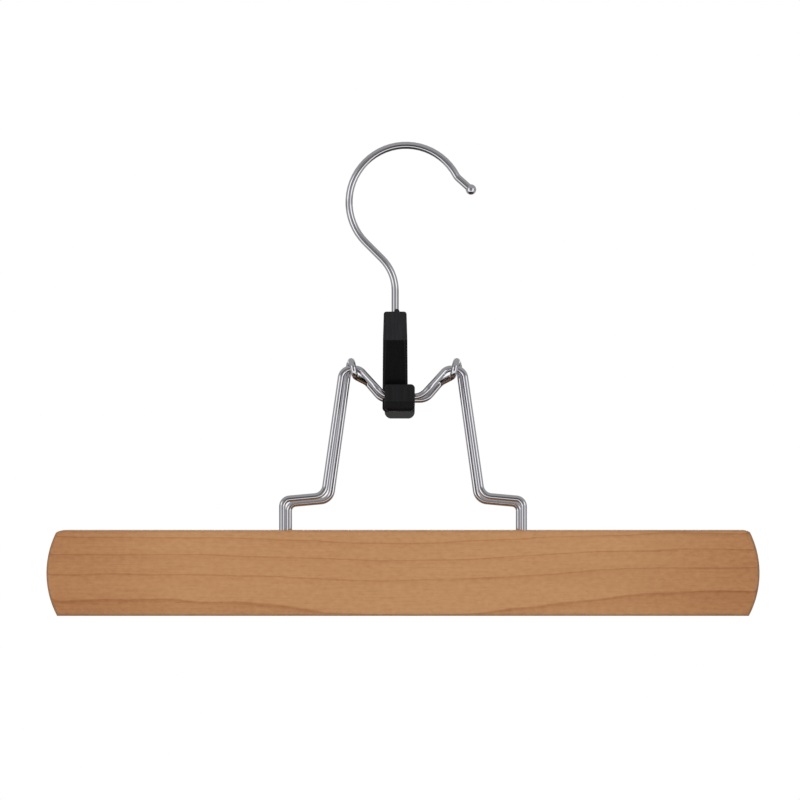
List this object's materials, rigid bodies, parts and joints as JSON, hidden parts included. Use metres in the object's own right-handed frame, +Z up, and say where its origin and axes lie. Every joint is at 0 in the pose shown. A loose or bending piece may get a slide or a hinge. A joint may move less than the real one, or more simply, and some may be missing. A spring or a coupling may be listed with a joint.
{
  "type": "skirt hanger",
  "caption": "Wooden clamp hanger: felt-lined bars on hinged wire frames, closed by a sliding wedge lock under a swivelling wire hook.",
  "frame": {"origin": "the point under the hook's crown that rests on a rail", "axes": "+Z up, +X along the bars with the hook's tip towards +X, -Y the front"},
  "size_m": [0.3003, 0.0272, 0.1997],
  "materials": {
    "hook_chrome": "bright plated wire",
    "frame_chrome": "bright plated wire",
    "black_plastic": "satin moulded",
    "bar_wood": "satin clear lacquer",
    "lining_felt": "pressed felt"
  },
  "bodies": {
    "hook": {"hook": "hook_chrome"},
    "lock": {"wedge_lock": "black_plastic"},
    "front_half": {"front_bar": "bar_wood", "front_felt": "lining_felt", "front_wire": "frame_chrome"},
    "rear_half": {"rear_bar": "bar_wood", "rear_felt": "lining_felt", "rear_wire": "frame_chrome"}
  },
  "joints": [
    {"name": "hook_swivel", "type": "hinge", "parent": "hook", "child": "lock", "pos_m": [-0.00455, 0, -0.0845], "axis": [0, 0, 1], "continuous": true},
    {"name": "lock_slide", "type": "slide", "parent": "lock", "child": "front_half", "axis": [0, -0.1444, 0.9895], "range_m": [0, 0.018]},
    {"name": "frame_hinge", "type": "hinge", "parent": "front_half", "child": "rear_half", "pos_m": [-0.00125, 0, -0.09265], "axis": [1, 0, 0], "range_deg": [0, 28]}
  ],
  "couplings": [
    {"joint": "frame_hinge", "follows": "lock_slide", "rad_per_m": 27}
  ]
}
